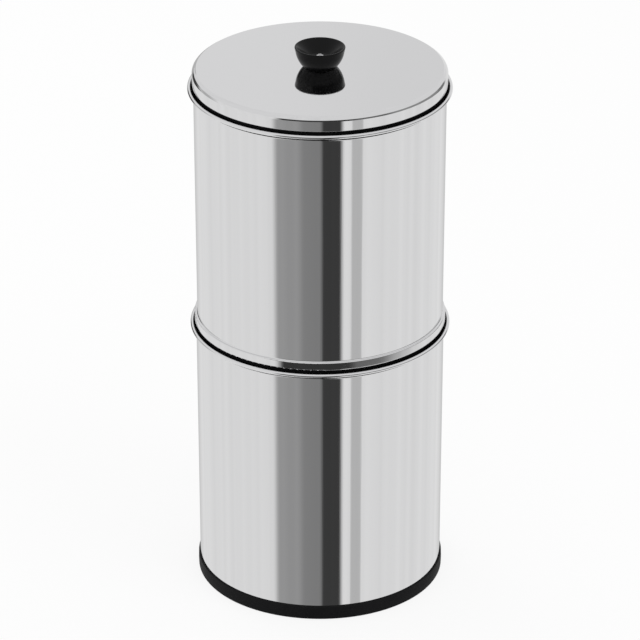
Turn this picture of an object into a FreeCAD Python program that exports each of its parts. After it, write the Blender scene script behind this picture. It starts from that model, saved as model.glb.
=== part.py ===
import FreeCAD, Part
import math
import os
import re

import Sketcher

# A two-chamber gravity water filter with a lever tap. All sizes are in millimetres.
# The origin is on the chambers' axis at the surface that the filter stands on, and the tap points to -Y.

SIZES = {
    # Pressed sheet and the rim that both chambers have
    "sheet_gauge": 0.8,
    "wall_base_radius": 107.05,
    "wall_top_radius": 108.0,
    "floor_round": 5.0,
    "rim_flare": 2.4,
    "rim_flare_height": 3.0,
    "rim_neck_height": 1.4,
    "rim_bend_radius": 1.5,
    "curl_radius": 0.9,
    # Seats: each upper piece nests in the flared rim under it
    "seat_gap": 0.3,
    "nest_gap": 0.6,
    "step_gap": 1.8,
    # Base ring
    "ring_floor": 3.0,
    "ring_height": 12.6,
    "ring_swell": 1.55,
    "ring_edge": 1.2,
    "ring_gap": 0.15,
    "ring_ledge": 11.0,
    # Chambers
    "lower_wall_height": 231.7,
    "nest_depth": 12.7,
    "upper_wall_height": 232.8,
    "band_rise": 8.0,
    "band_height": 7.4,
    "band_swell": 1.4,
    "band_tilt": 0.4,
    "band_round": 1.25,
    # Lid
    "lid_plug_depth": 6.0,
    "lid_lip_rise": 8.1,
    "lid_radius": 109.0,
    "lid_skirt_height": 11.8,
    "lid_shoulder_width": 2.7,
    "lid_shoulder_drop": 1.3,
    "lid_shoulder_round": 4.0,
    "lid_crease_width": 0.7,
    "lid_crease_depth": 0.5,
    "lid_crown": 1.0,
    # Knob and its screw
    "knob_height": 18.1,
    "knob_base_radius": 13.8,
    "knob_waist_radius": 19.3,
    "knob_waist_height": 6.1,
    "knob_waist_round": 24.0,
    "knob_rim_radius": 21.8,
    "knob_lip": 1.5,
    "knob_dish_floor": 8.0,
    "knob_dish_radius": 8.5,
    "knob_dish_round": 5.0,
    "screw_radius": 2.0,
    "screw_hole_gap": 0.25,
    "screw_head_radius": 4.0,
    "screw_head_height": 2.6,
    "screw_recess_width": 0.9,
    "screw_recess_length": 4.4,
    "screw_recess_depth": 1.3,
    "washer_radius": 7.5,
    "washer_height": 1.0,
    "cap_nut_flats": 7.0,
    "cap_nut_height": 3.2,
    "cap_nut_dome": 3.6,
    "thread_gap": 0.05,
    # Filter candles and blanking plugs in the upper chamber's floor
    "candle_circle": 50.0,
    "candle_radius": 24.0,
    "candle_wall": 8.0,
    "candle_length": 178.0,
    "core_radius": 14.5,
    "core_bore": 4.0,
    "core_length": 130.0,
    "core_end": 18.0,
    "stem_radius": 6.0,
    "stem_length": 20.0,
    "stem_bore": 2.75,
    "stem_hole_gap": 0.4,
    "cup_lip": 1.8,
    "cup_floor": 4.0,
    "cup_height": 10.0,
    "glue_gap": 0.2,
    "spigot_height": 8.0,
    "seal_radius": 12.0,
    "seal_height": 2.5,
    "seal_gap": 0.1,
    "hub_radius": 9.0,
    "hub_height": 10.0,
    "wing_span": 34.0,
    "wing_thickness": 3.2,
    "wing_height": 8.0,
    "plug_head_radius": 13.0,
    "plug_head_height": 5.0,
    "plug_nut_flats": 22.0,
    "plug_nut_height": 7.0,
    # Tap: its shank in the wall of the lower chamber
    "tap_height": 46.0,
    "tap_reach": 30.0,
    "shank_radius": 7.9,
    "shank_hole_gap": 0.3,
    "shank_length": 22.0,
    "shank_bore": 4.5,
    "tap_seal_radius": 14.0,
    "outer_seal_height": 2.0,
    "inner_seal_height": 3.0,
    "flange_radius": 15.0,
    "flange_height": 3.5,
    "neck_radius": 9.0,
    "lock_nut_flats": 24.0,
    "lock_nut_height": 7.0,
    # Tap: barrel, spout and bonnet, measured from the shank's axis
    "barrel_radius": 12.5,
    "barrel_bottom": 14.0,
    "barrel_shoulder": 9.4,
    "barrel_top": 17.4,
    "barrel_neck_radius": 11.0,
    "barrel_bore": 8.6,
    "valve_seat": 10.0,
    "spout_drop": 27.0,
    "spout_root_radius": 8.2,
    "spout_tip_radius": 6.8,
    "spout_bore": 5.0,
    "moulding_round": 0.8,
    "spout_round": 1.5,
    "barrel_round": 2.5,
    "bonnet_radius": 13.6,
    "bonnet_roof_gap": 0.4,
    "bonnet_roof": 4.0,
    "bonnet_boss_radius": 4.4,
    "bonnet_boss_drop": 4.0,
    "bonnet_flutes": 12,
    "bonnet_flute_radius": 1.6,
    "bonnet_flute_stop": 2.0,
    "bonnet_top_round": 1.2,
    # Tap: valve stem, spring, pin and lever
    "spindle_radius": 3.0,
    "spindle_gap": 0.06,
    "spindle_collar_radius": 6.6,
    "spindle_collar_height": 1.4,
    "spindle_nose_radius": 2.0,
    "spindle_nose_length": 2.2,
    "spindle_crown": 3.2,
    "valve_washer_radius": 7.2,
    "valve_washer_height": 3.35,
    "valve_gap": 0.05,
    "o_ring_section": 0.9,
    "spring_wire": 0.8,
    "spring_clearance": 0.3,
    "spring_turns": 6,
    "pin_radius": 1.5,
    "pin_press_gap": 0.01,
    "pin_running_gap": 0.05,
    "pin_recess": 0.2,
    "cam_radius": 5.0,
    "cam_gap": 0.1,
    "valve_lift": 4.0,
    "lever_sweep": 70.0,
    "cheek_gap": 0.15,
    "cheek_thickness": 3.25,
    "cheek_height": 4.9,
    "lever_length": 46.0,
    "lever_lean": 6.5,
    "lever_thickness": 4.6,
    "lever_tip_width": 18.0,
}

document = FreeCAD.newDocument("gravity_water_filter")
sheet = document.addObject("Spreadsheet::Sheet", "Sizes")
for row, (alias, size) in enumerate(SIZES.items(), start=1):
    sheet.set(f"A{row}", alias.replace("_", " "))
    sheet.set(f"B{row}", str(size))
    sheet.setAlias(f"B{row}", alias)
document.recompute()

# Lengths under this count as none
CLOSE = 1e-4

# Formulas that several pieces share
FLARE_SLANT = "sheet_gauge * sqrt(1 + (rim_flare / rim_flare_height) ^ 2)"
NECK_RADIUS = "(wall_top_radius + rim_flare)"
NEST_RADIUS = "(wall_top_radius - sheet_gauge - nest_gap)"
STEP_RADIUS = f"({NECK_RADIUS} - sheet_gauge - step_gap)"
BAND_RADIUS = "(wall_top_radius + band_swell)"
LOWER_FLARE = "(ring_floor + lower_wall_height)"
UPPER_FLOOR = f"({LOWER_FLARE} - nest_depth)"
UPPER_FLARE = f"({UPPER_FLOOR} + upper_wall_height)"
LID_SHOULDER = "(lid_lip_rise + lid_skirt_height)"
LID_TOP = f"({UPPER_FLARE} + {LID_SHOULDER} + lid_shoulder_drop + lid_crease_depth + lid_crown)"
LID_CROWN_EDGE = "(lid_radius - lid_shoulder_width - lid_crease_width)"
# How far the lid's crown has fallen at the edge of the knob's washer
LID_DROP = f"(lid_crown * (washer_radius / {LID_CROWN_EDGE}) ^ 2)"
CANDLE_SEAT = f"({UPPER_FLOOR} + sheet_gauge + seal_height)"
TAP_WALL = (
    "(wall_base_radius + (wall_top_radius - wall_base_radius)"
    " * (tap_height - ring_floor) / lower_wall_height)"
)
BARREL_Y = f"(0 - {TAP_WALL} - tap_reach)"
BONNET_ROOF = "(barrel_top + bonnet_roof_gap)"
BONNET_TOP = f"({BONNET_ROOF} + bonnet_roof)"
PIN_HEIGHT = f"({BONNET_TOP} + cam_gap + cam_radius)"
SPINDLE_FOOT = "(valve_gap + valve_washer_height - valve_seat)"
SPRING_FOOT = f"({SPINDLE_FOOT} + spindle_collar_height)"
SPINDLE_BORE = "(spindle_radius + spindle_gap)"


def bound(formula):
    """The formula with the sheet's name put before each alias."""
    return re.sub(
        r"[a-z_]+",
        lambda word: f"Sizes.{word.group()}" if word.group() in SIZES else word.group(),
        str(formula),
    )


def number(formula):
    """What the formula gives with the sheet's present sizes."""
    return float(sheet.evalExpression(bound(formula)))


def tie(thing, formulas):
    """Binds each named property of the object to its formula."""
    for name, formula in formulas.items():
        thing.setExpression(name, bound(formula))
    return thing


def place(thing, x=0, y=0, z=0):
    """Puts the object's own origin at the point that the formulas give."""
    offsets = {"x": x, "y": y, "z": z}
    return tie(thing, {f".Placement.Base.{k}": v for k, v in offsets.items() if v != 0})


def seat_height(radius):
    """Height above a chamber's flare start at which a seat of this radius rests in its rim."""
    return f"(seat_gap + ({radius} - wall_top_radius + {FLARE_SLANT}) * rim_flare_height / rim_flare)"


def corner_arc(before, here, after, radius):
    """Start, end and centre of the arc that rounds the corner, and whether it turns to the left."""
    back = (before - here).normalize()
    ahead = (after - here).normalize()
    half = back.getAngle(ahead) / 2
    start = here + back * (radius / math.tan(half))
    end = here + ahead * (radius / math.tan(half))
    centre = here + (back + ahead).normalize() * (radius / math.sin(half))
    return start, end, centre, (back.cross(ahead)).z < 0


def arc_edge(centre, start, end, leftward):
    """The arc from start to end, which a sketch always holds in its leftward sense."""
    first, last = (start, end) if leftward else (end, start)
    angles = [math.atan2(p.y - centre.y, p.x - centre.x) for p in (first, last)]
    circle = Part.Circle(centre, FreeCAD.Vector(0, 0, 1), (start - centre).Length)
    return Part.ArcOfCircle(circle, angles[0], angles[1])


def draw(sketch, corners, closed=True, crown=None, curl=None):
    """
    Draws runs through the corners (x, y, round) and binds each corner to its formulas.
    The run that starts at corner number crown is an arc about the upright axis.
    An open outline may end in a curl of this radius, three quarters of a turn to the right.
    """
    count = len(corners)
    points = [FreeCAD.Vector(number(c[0]), number(c[1]), 0) for c in corners]
    rounds = [c[2] if len(c) > 2 else None for c in corners]
    leave, arrive, arcs = list(points), list(points), {}
    for i in range(count):
        if rounds[i]:
            start, end, centre, leftward = corner_arc(
                points[i - 1], points[i], points[(i + 1) % count], number(rounds[i])
            )
            arrive[i], leave[i] = start, end
            arcs[i] = (arc_edge(centre, start, end, leftward), leftward)
    runs = count if closed else count - 1
    rules, sizes = [], []

    def pin_down(index, corner, position=1):
        for kind, formula in (("DistanceX", corner[0]), ("DistanceY", corner[1])):
            rule = Sketcher.Constraint(kind, -1, 1, index, position, number(formula))
            sizes.append((len(rules), formula))
            rules.append(rule)

    for i in range(runs):
        j = (i + 1) % count
        if i == crown:
            a, b = leave[i], arrive[j]
            middle = (b.x**2 + b.y**2 - a.x**2 - a.y**2) / (2 * (b.y - a.y))
            sketch.addGeometry(arc_edge(FreeCAD.Vector(0, middle, 0), a, b, True), False)
            rules.append(Sketcher.Constraint("PointOnObject", i, 3, -2))
        else:
            sketch.addGeometry(Part.LineSegment(leave[i], arrive[j]), False)
    for i, corner in enumerate(corners):
        last_run, next_run = (i - 1) % count, i
        if not closed and i in (0, count - 1):
            run, position = (next_run, 1) if i == 0 else (last_run, 2)
            pin_down(run, corner, position)
        elif i in arcs:
            edge, leftward = arcs[i]
            arc = sketch.addGeometry(edge, False)
            point = sketch.addGeometry(Part.Point(points[i]), True)
            first, last = (1, 2) if leftward else (2, 1)
            rules.append(Sketcher.Constraint("Tangent", last_run, 2, arc, first))
            rules.append(Sketcher.Constraint("Tangent", arc, last, next_run, 1))
            sizes.append((len(rules), rounds[i]))
            rules.append(Sketcher.Constraint("Radius", arc, number(rounds[i])))
            rules.append(Sketcher.Constraint("PointOnObject", point, 1, last_run))
            rules.append(Sketcher.Constraint("PointOnObject", point, 1, next_run))
            pin_down(point, corner)
        else:
            rules.append(Sketcher.Constraint("Coincident", last_run, 2, next_run, 1))
            pin_down(next_run, corner)
    if curl:
        end, radius = points[-1], number(curl)
        centre = end + FreeCAD.Vector(radius, 0, 0)
        below = centre - FreeCAD.Vector(0, radius, 0)
        arc = sketch.addGeometry(arc_edge(centre, end, below, False), False)
        rules.append(Sketcher.Constraint("Tangent", runs - 1, 2, arc, 2))
        rules.append(Sketcher.Constraint("Vertical", arc, 3, arc, 1))
        sizes.append((len(rules), curl))
        rules.append(Sketcher.Constraint("Radius", arc, radius))
    sketch.addConstraint(rules)
    for index, formula in sizes:
        sketch.setExpression(f"Constraints[{index}]", bound(formula))


def flat_sketch(body, name, role):
    """An empty sketch on one of the body's own origin planes."""
    sketch = body.newObject("Sketcher::SketchObject", name)
    plane = next(f for f in body.Origin.OriginFeatures if f.Role == role)
    sketch.AttachmentSupport = [(plane, "")]
    sketch.MapMode = "FlatFace"
    return sketch


def turned(name, corners, crown=None):
    """A body turned about its own Z axis from a closed half section (radius, height, round)."""
    body = document.addObject("PartDesign::Body", name)
    sketch = flat_sketch(body, f"{name}_section", "XZ_Plane")
    draw(sketch, corners, crown=crown)
    turn = body.newObject("PartDesign::Revolution", f"{name}_turn")
    turn.Profile = sketch
    turn.ReferenceAxis = (sketch, ["V_Axis"])
    turn.Angle = 360
    sketch.Visibility = False
    return body


def pressed(name, corners, crown=None, curl=None):
    """A sheet pressing turned about Z, from the line of its outer face and the sheet's gauge."""
    sketch = document.addObject("Sketcher::SketchObject", f"{name}_line")
    sketch.Placement = FreeCAD.Placement(
        FreeCAD.Vector(), FreeCAD.Rotation(FreeCAD.Vector(1, 0, 0), 90)
    )
    draw(sketch, corners, closed=False, crown=crown, curl=curl)
    ribbon = document.addObject("Part::Offset2D", f"{name}_ribbon")
    ribbon.Source = sketch
    ribbon.Mode = "Skin"
    ribbon.Join = "Intersection"
    ribbon.Fill = True
    tie(ribbon, {"Value": "sheet_gauge"})
    document.recompute()
    # The thickness belongs on the side of the wall that faces the axis
    wall = max(sketch.Shape.Edges, key=lambda edge: edge.BoundBox.ZLength)
    middle = wall.valueAt((wall.FirstParameter + wall.LastParameter) / 2)
    inward = Part.Vertex(middle - FreeCAD.Vector(number("sheet_gauge") / 2, 0, 0))
    if ribbon.Shape.distToShape(inward)[0] > CLOSE:
        tie(ribbon, {"Value": "0 - sheet_gauge"})
    shell = document.addObject("Part::Revolution", f"{name}_shell")
    shell.Source = ribbon
    shell.Axis = FreeCAD.Vector(0, 0, 1)
    shell.Angle = 360
    shell.Solid = True
    return shell


def cylinder(name, radius, height, lying=None):
    """A cylinder that stands on its origin, or lies along X or outward along -Y."""
    rod = document.addObject("Part::Cylinder", name)
    tie(rod, {"Radius": radius, "Height": height})
    if lying == "X":
        rod.Placement.Rotation = FreeCAD.Rotation(FreeCAD.Vector(0, 1, 0), 90)
    if lying == "Y":
        rod.Placement.Rotation = FreeCAD.Rotation(FreeCAD.Vector(1, 0, 0), 90)
    return rod


def block(name, length, width, height):
    """A box centred on its origin in X and Y that stands on it in Z."""
    box = document.addObject("Part::Box", name)
    tie(box, {"Length": length, "Width": width, "Height": height})
    return place(box, x=f"0 - ({length}) / 2", y=f"0 - ({width}) / 2")


def hexagon(name, flats, height):
    """A hexagonal prism of this width across its flats."""
    prism = document.addObject("Part::Prism", name)
    prism.Polygon = 6
    return tie(prism, {"Circumradius": f"{flats} / sqrt(3)", "Height": height})


def joined(name, pieces):
    """The union of the pieces."""
    union = document.addObject("Part::MultiFuse", name)
    union.Shapes = pieces
    return union


def cut(name, base, tools):
    """The base without the tools."""
    tool = tools[0] if len(tools) == 1 else joined(f"{name}_tools", tools)
    result = document.addObject("Part::Cut", name)
    result.Base = base
    result.Tool = tool
    return result


def overlap(name, first, second):
    """What the two objects share."""
    result = document.addObject("Part::Common", name)
    result.Base = first
    result.Tool = second
    return result


def lay_outward(thing):
    """Turns a piece that was made along Z so that it points outward along -Y."""
    thing.Placement.Rotation = FreeCAD.Rotation(FreeCAD.Vector(1, 0, 0), 90)
    return thing


nodes = []


def keep(thing, label):
    """Marks the object as one of the filter's pieces, under its own label."""
    thing.Label = label
    nodes.append(thing)
    return thing


# Lower chamber


def rim_corners(flare_start):
    """The flare and neck at the top of a chamber's wall, from the height where the flare starts."""
    return [
        ("wall_top_radius", flare_start, "rim_bend_radius"),
        (NECK_RADIUS, f"{flare_start} + rim_flare_height", "rim_bend_radius"),
        (NECK_RADIUS, f"{flare_start} + rim_flare_height + rim_neck_height"),
    ]


def make_lower_chamber():
    """A plain can with a flared and curled rim, and the tap's hole near its floor."""
    shell = pressed(
        "lower_can",
        [
            ("0", "0"),
            ("wall_base_radius", "0", "floor_round"),
            *rim_corners("lower_wall_height"),
        ],
        curl="curl_radius",
    )
    place(shell, z="ring_floor")
    hole = cylinder("tap_hole", "shank_radius + shank_hole_gap", "wall_top_radius", "Y")
    place(hole, z="tap_height")
    keep(cut("lower_chamber_body", shell, [hole]), "lower_chamber")


def make_base_ring():
    """A black ring with an inward ledge that carries the lower chamber's floor."""
    bore = "(wall_base_radius + ring_gap)"
    ring = turned(
        "base_ring_body",
        [
            ("wall_base_radius - ring_ledge", "0"),
            (f"{bore} + ring_edge", "0", "ring_edge"),
            ("wall_base_radius + ring_swell", "ring_height / 2", "ring_height"),
            (f"{bore} + ring_edge", "ring_height", "0.5 * ring_edge"),
            (bore, "ring_height"),
            (bore, "ring_floor", "floor_round - 1"),
            ("wall_base_radius - ring_ledge", "ring_floor"),
        ],
    )
    keep(ring, "base_ring")


# Upper chamber with its candles and plugs


def make_upper_chamber():
    """A can with a nesting foot, a swelled band over its seat, a curled rim and four floor holes."""
    seat = "nest_depth + "
    shell = pressed(
        "upper_can",
        [
            ("0", "0"),
            (NEST_RADIUS, "0", "floor_round"),
            (NEST_RADIUS, seat + seat_height(NEST_RADIUS), "rim_bend_radius"),
            (STEP_RADIUS, seat + seat_height(STEP_RADIUS), "rim_bend_radius"),
            (STEP_RADIUS, seat + "band_rise", "0.2 * band_round"),
            (BAND_RADIUS, seat + "band_rise", "band_round"),
            (f"{BAND_RADIUS} - band_tilt", seat + "band_rise + band_height", "0.6 * band_round"),
            (
                "wall_base_radius",
                seat + "band_rise + band_height + band_tilt",
                "0.6 * band_round",
            ),
            *rim_corners("upper_wall_height"),
        ],
        curl="curl_radius",
    )
    holes = []
    for name, x, y in FLOOR_HOLES:
        hole = cylinder(f"{name}_hole", "stem_radius + stem_hole_gap", "floor_round")
        holes.append(place(hole, x=x, y=y, z="0 - floor_round / 2"))
    chamber = cut("upper_chamber_body", shell, holes)
    place(chamber, z=UPPER_FLOOR)
    keep(chamber, "upper_chamber")


FLOOR_HOLES = (
    ("left_candle", "0 - candle_circle", 0),
    ("right_candle", "candle_circle", 0),
    ("front_plug", 0, "0 - candle_circle"),
    ("rear_plug", 0, "candle_circle"),
)


def make_floor_seal(name, x, y):
    """A soft washer between the chamber's floor and what stands on it."""
    seal = turned(
        f"{name}_seal_body",
        [
            ("stem_radius + seal_gap", "0"),
            ("seal_radius", "0"),
            ("seal_radius", "seal_height"),
            ("stem_radius + seal_gap", "seal_height"),
        ],
    )
    place(seal, x=x, y=y, z=f"{UPPER_FLOOR} + sheet_gauge")
    keep(seal, f"{name}_seal")


def make_candle(name, x, y):
    """A ceramic candle: domed shell, carbon core, stemmed cup and wing nut."""
    cup_radius = "(candle_radius + glue_gap + cup_lip)"
    spigot = "(candle_radius - candle_wall - glue_gap)"
    spigot_top = "(cup_floor + spigot_height)"
    core_top = f"({spigot_top} + core_length)"
    inner = "(candle_radius - candle_wall)"
    top = "(cup_floor + candle_length)"
    cup = turned(
        f"{name}_cup_body",
        [
            ("stem_bore", "0 - stem_length"),
            ("stem_radius", "0 - stem_length"),
            ("stem_radius", "0"),
            (cup_radius, "0", "cup_lip / 2"),
            (cup_radius, "cup_height", "cup_lip / 3"),
            ("candle_radius + glue_gap", "cup_height"),
            ("candle_radius + glue_gap", "cup_floor"),
            (spigot, "cup_floor"),
            (spigot, spigot_top),
            ("stem_bore", spigot_top),
        ],
    )
    shell = turned(
        f"{name}_shell_body",
        [
            (inner, "cup_floor"),
            ("candle_radius", "cup_floor"),
            ("candle_radius", top, "0.94 * candle_radius"),
            ("0", top),
            ("0", f"{top} - candle_wall"),
            (inner, f"{top} - candle_wall", f"0.9 * {inner}"),
        ],
    )
    core = turned(
        f"{name}_core_body",
        [
            ("core_bore", spigot_top),
            ("core_radius", spigot_top),
            ("core_radius", core_top),
            ("0", core_top),
            ("0", f"{core_top} - core_end"),
            ("core_bore", f"{core_top} - core_end"),
        ],
    )
    for piece, word in ((cup, "cup"), (shell, "ceramic_shell"), (core, "carbon_core")):
        place(piece, x=x, y=y, z=CANDLE_SEAT)
        keep(piece, f"{name}_{word}")
    make_floor_seal(name, x, y)
    hub = cylinder(f"{name}_hub", "hub_radius", "hub_height")
    wings = block(f"{name}_wings", "wing_span", "wing_thickness", "wing_height")
    ends = cylinder(f"{name}_wing_ends", "wing_span / 2", "wing_height")
    bore = cylinder(f"{name}_nut_bore", "stem_radius + thread_gap", "hub_height")
    blades = overlap(f"{name}_blades", wings, ends)
    nut = cut(f"{name}_wing_nut_body", joined(f"{name}_blank", [hub, blades]), [bore])
    place(nut, x=x, y=y, z=f"{UPPER_FLOOR} - hub_height")
    keep(nut, f"{name}_wing_nut")


def make_blanking_plug(name, x, y):
    """A plastic bolt, its seal and its nut, which close a spare candle hole."""
    bolt = turned(
        f"{name}_bolt_body",
        [
            ("0", "0 - stem_length"),
            ("stem_radius", "0 - stem_length", "0.15 * stem_radius"),
            ("stem_radius", "0"),
            ("plug_head_radius", "0"),
            ("plug_head_radius", "plug_head_height", "0.5 * plug_head_height"),
            ("0", "plug_head_height"),
        ],
    )
    place(bolt, x=x, y=y, z=CANDLE_SEAT)
    keep(bolt, f"{name}_bolt")
    make_floor_seal(name, x, y)
    prism = hexagon(f"{name}_hex", "plug_nut_flats", "plug_nut_height")
    bore = cylinder(f"{name}_nut_bore", "stem_radius + thread_gap", "plug_nut_height")
    nut = cut(f"{name}_nut_body", prism, [bore])
    place(nut, x=x, y=y, z=f"{UPPER_FLOOR} - plug_nut_height")
    keep(nut, f"{name}_nut")


# Lid and knob


def make_lid():
    """A pressed lid whose plug nests in the upper chamber's rim, with a shallow crown."""
    crease_top = f"{LID_SHOULDER} + lid_shoulder_drop + lid_crease_depth"
    shell = pressed(
        "lid_pan",
        [
            (NEST_RADIUS, "0 - lid_plug_depth"),
            (NEST_RADIUS, seat_height(NEST_RADIUS), "rim_bend_radius"),
            (STEP_RADIUS, seat_height(STEP_RADIUS), "rim_bend_radius"),
            (STEP_RADIUS, "lid_lip_rise", "0.2 * band_round"),
            ("lid_radius", "lid_lip_rise", "0.7 * band_round"),
            ("lid_radius", LID_SHOULDER, "lid_shoulder_round"),
            ("lid_radius - lid_shoulder_width", f"{LID_SHOULDER} + lid_shoulder_drop"),
            (LID_CROWN_EDGE, crease_top),
            ("0", f"{crease_top} + lid_crown"),
        ],
        crown=7,
    )
    hole = cylinder("lid_hole", "screw_radius + screw_hole_gap", "lid_radius")
    lid = cut("lid_body", shell, [hole])
    place(lid, z=UPPER_FLARE)
    keep(lid, "lid")


def make_knob():
    """A bowl-shaped knob with a dished top, its screw, and the washer and cap nut under the lid."""
    bore = "screw_radius + screw_hole_gap"
    knob = turned(
        "lid_knob_body",
        [
            (bore, "0"),
            ("knob_base_radius", "0"),
            ("knob_waist_radius", "knob_waist_height", "knob_waist_round"),
            ("knob_rim_radius", "knob_height", "0.5 * knob_lip"),
            ("knob_rim_radius - knob_lip", "knob_height", "0.4 * knob_lip"),
            ("knob_dish_radius", "knob_dish_floor", "knob_dish_round"),
            (bore, "knob_dish_floor"),
        ],
    )
    place(knob, z=LID_TOP)
    keep(knob, "lid_knob")
    grip = "(knob_dish_floor + sheet_gauge + washer_height + cap_nut_height)"
    head = turned(
        "knob_screw_blank",
        [
            ("0", f"0 - {grip}"),
            ("screw_radius", f"0 - {grip}"),
            ("screw_radius", "0"),
            ("screw_head_radius", "0"),
            ("screw_head_radius", "screw_head_height", "0.8 * screw_head_height"),
            ("0", "screw_head_height"),
        ],
    )
    recess_floor = "screw_head_height - screw_recess_depth"
    slots = []
    for name, length, width in (
        ("recess_across", "screw_recess_length", "screw_recess_width"),
        ("recess_along", "screw_recess_width", "screw_recess_length"),
    ):
        slots.append(place(block(name, length, width, "screw_head_height"), z=recess_floor))
    screw = cut("knob_screw_body", head, slots)
    place(screw, z=f"{LID_TOP} + knob_dish_floor")
    keep(screw, "knob_screw")
    washer = turned(
        "knob_washer_body",
        [
            (bore, "0"),
            ("washer_radius", "0"),
            ("washer_radius", "washer_height"),
            (bore, "washer_height"),
        ],
    )
    washer_under = f"{LID_TOP} - {LID_DROP} - sheet_gauge - washer_height"
    place(washer, z=washer_under)
    keep(washer, "knob_washer")
    nut_radius = "cap_nut_flats / 2"
    dome = turned(
        "cap_nut_dome_body",
        [
            ("0", "0 - cap_nut_dome"),
            (f"0.93 * {nut_radius}", "0 - cap_nut_dome", f"0.8 * {nut_radius}"),
            (f"0.93 * {nut_radius}", "0"),
            ("0", "0"),
        ],
    )
    prism = hexagon("cap_nut_hex", "cap_nut_flats", "cap_nut_height")
    bore_rod = cylinder("cap_nut_bore", "screw_radius + thread_gap", "2 * cap_nut_height")
    nut = cut("knob_nut_body", joined("cap_nut_blank", [dome, prism]), [bore_rod])
    place(nut, z=f"{washer_under} - cap_nut_height")
    keep(nut, "knob_nut")


# Tap


def make_tap_body():
    """Barrel, spout, neck, flange and shank in one moulding, with its water passage."""
    barrel = turned(
        "tap_barrel",
        [
            ("0", "0 - spout_drop"),
            ("spout_tip_radius", "0 - spout_drop", "moulding_round"),
            ("spout_root_radius", "0 - barrel_bottom", "spout_round"),
            ("barrel_radius", "spout_round - barrel_bottom", "barrel_round"),
            ("barrel_radius", "barrel_shoulder"),
            ("barrel_neck_radius", "barrel_shoulder"),
            ("barrel_neck_radius", "barrel_top"),
            ("0", "barrel_top"),
        ],
    )
    place(barrel, y=BARREL_Y, z="tap_height")
    stub = turned(
        "tap_shank",
        [
            ("0", "0 - shank_length"),
            ("shank_radius", "0 - shank_length", "moulding_round"),
            ("shank_radius", "outer_seal_height"),
            ("flange_radius", "outer_seal_height", "0.3 * flange_height"),
            ("flange_radius", "outer_seal_height + flange_height", "0.5 * flange_height"),
            ("neck_radius", "outer_seal_height + flange_height", "0.8 * flange_height"),
            ("neck_radius", "tap_reach"),
            ("0", "tap_reach"),
        ],
    )
    lay_outward(stub)
    place(stub, y=f"0 - {TAP_WALL}", z="tap_height")
    passage = cylinder("tap_passage", "shank_bore", "shank_length + tap_reach", "Y")
    place(passage, y=f"shank_length - {TAP_WALL}", z="tap_height")
    well = cylinder("tap_well", "barrel_bore", "valve_seat + 2 * barrel_top")
    place(well, y=BARREL_Y, z="tap_height - valve_seat")
    outlet = cylinder("tap_outlet", "spout_bore", "spout_drop")
    place(outlet, y=BARREL_Y, z="tap_height - spout_drop")
    blank = joined("tap_blank", [barrel, stub])
    keep(cut("tap_moulding", blank, [passage, well, outlet]), "tap_body")


def wall_cone(name, growth):
    """The lower chamber's wall as a solid cone, larger than its outer face by this much."""
    cone = document.addObject("Part::Cone", name)
    tie(
        cone,
        {
            "Radius1": f"wall_base_radius + {growth}",
            "Radius2": f"wall_top_radius + {growth}",
            "Height": "lower_wall_height",
        },
    )
    return place(cone, z="ring_floor")


def make_tap_seals():
    """The two soft washers that follow the curved wall, and the nut that draws the tap tight."""
    hole = "shank_radius + seal_gap"
    reach = "wall_top_radius"
    outer = cylinder("outer_seal_disc", "tap_seal_radius", "outer_seal_height + flange_height", "Y")
    place(outer, y=f"flange_height - {TAP_WALL}", z="tap_height")
    outer_hole = cylinder("outer_seal_hole", hole, reach, "Y")
    place(outer_hole, y="0 - wall_base_radius / 2", z="tap_height")
    outside = wall_cone("outside_of_wall", "seal_gap / 2")
    keep(cut("outer_seal_body", outer, [outer_hole, outside]), "tap_outer_seal")
    inner = cylinder("inner_seal_disc", "tap_seal_radius", "2 * inner_seal_height", "Y")
    place(inner, y=f"sheet_gauge + inner_seal_height - {TAP_WALL}", z="tap_height")
    inside = wall_cone("inside_of_wall", "(0 - sheet_gauge - seal_gap / 2)")
    inner_hole = cylinder("inner_seal_hole", hole, reach, "Y")
    place(inner_hole, y="0 - wall_base_radius / 2", z="tap_height")
    washer = overlap("inner_seal_blank", inner, inside)
    keep(cut("inner_seal_body", washer, [inner_hole]), "tap_inner_seal")
    prism = hexagon("lock_nut_hex", "lock_nut_flats", "lock_nut_height")
    bore = cylinder("lock_nut_bore", "shank_radius + thread_gap", "lock_nut_height")
    nut = cut("lock_nut_body", prism, [bore])
    lay_outward(nut)
    nut_y = f"sheet_gauge + inner_seal_height + lock_nut_height - {TAP_WALL}"
    place(nut, y=nut_y, z="tap_height")
    keep(nut, "tap_lock_nut")


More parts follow.
